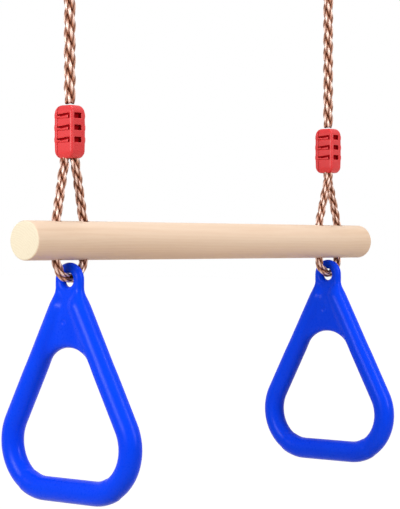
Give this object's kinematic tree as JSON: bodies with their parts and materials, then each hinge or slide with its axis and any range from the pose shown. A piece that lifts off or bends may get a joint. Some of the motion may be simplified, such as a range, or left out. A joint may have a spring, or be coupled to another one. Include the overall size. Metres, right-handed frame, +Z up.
{
  "type": "trapeze bar",
  "caption": "Wooden trapeze bar on two braided ropes with adjusting clips and steel hanging rings, and a triangular plastic handle on a rope loop under each end.",
  "frame": {"origin": "midway between the tops of the two hanging rings' openings, where the hooks bear", "axes": "+X along the bar to the right, +Y away from the front, +Z up"},
  "size_m": [0.51, 0.1582, 0.6258],
  "materials": {
    "wood": "fine sanded, clear sealed pale hardwood",
    "handle_plastic": "moulded, glossy blue",
    "clip_plastic": "moulded, glossy red",
    "rope": "braided shiny copper brown cord with pale highlights",
    "ring_steel": "zinc plated round steel"
  },
  "bodies": {
    "rings": {"left_ring": "ring_steel", "right_ring": "ring_steel"},
    "hangers": {"left_rope_top_loop": "rope", "right_rope_top_loop": "rope", "left_rope_in_top_clip": "rope", "right_rope_in_top_clip": "rope", "left_top_clip_front_half": "clip_plastic", "left_top_clip_back_half": "clip_plastic", "right_top_clip_front_half": "clip_plastic", "right_top_clip_back_half": "clip_plastic"},
    "left_line": {"left_rope_riser": "rope"},
    "right_line": {"right_rope_riser": "rope"},
    "bar": {"wooden_bar": "wood", "left_rope_loop": "rope", "right_rope_loop": "rope", "left_rope_in_clip": "rope", "right_rope_in_clip": "rope", "left_clip_front_half": "clip_plastic", "left_clip_back_half": "clip_plastic", "right_clip_front_half": "clip_plastic", "right_clip_back_half": "clip_plastic"},
    "left_grip": {"left_handle": "handle_plastic"},
    "right_grip": {"right_handle": "handle_plastic"}
  },
  "joints": [
    {"name": "swing", "type": "hinge", "parent": "rings", "child": "hangers", "pos_m": [0, 0, -0.041], "axis": [1, 0, 0], "range_deg": [-60, 60]},
    {"name": "sway", "type": "hinge", "parent": "hangers", "child": "left_line", "pos_m": [-0.1983, 0, -0.1342], "axis": [0, 1, 0], "range_deg": [-15, 15]},
    {"name": "bar_level", "type": "hinge", "parent": "left_line", "child": "bar", "pos_m": [-0.1983, 0, -0.2702], "axis": [0, 1, 0], "range_deg": [-15, 15]},
    {"name": "right_sway", "type": "hinge", "parent": "bar", "child": "right_line", "pos_m": [0.1983, 0, -0.2702], "axis": [0, 1, 0], "range_deg": [-15, 15]},
    {"name": "left_handle_swing", "type": "hinge", "parent": "bar", "child": "left_grip", "pos_m": [-0.1983, 0, -0.4248], "axis": [1, 0, 0], "range_deg": [-85, 85]},
    {"name": "right_handle_swing", "type": "hinge", "parent": "bar", "child": "right_grip", "pos_m": [0.1983, 0, -0.4248], "axis": [1, 0, 0], "range_deg": [-85, 85]}
  ],
  "couplings": [
    {"joint": "bar_level", "follows": "sway", "ratio": -1},
    {"joint": "right_sway", "follows": "sway", "ratio": 1}
  ]
}
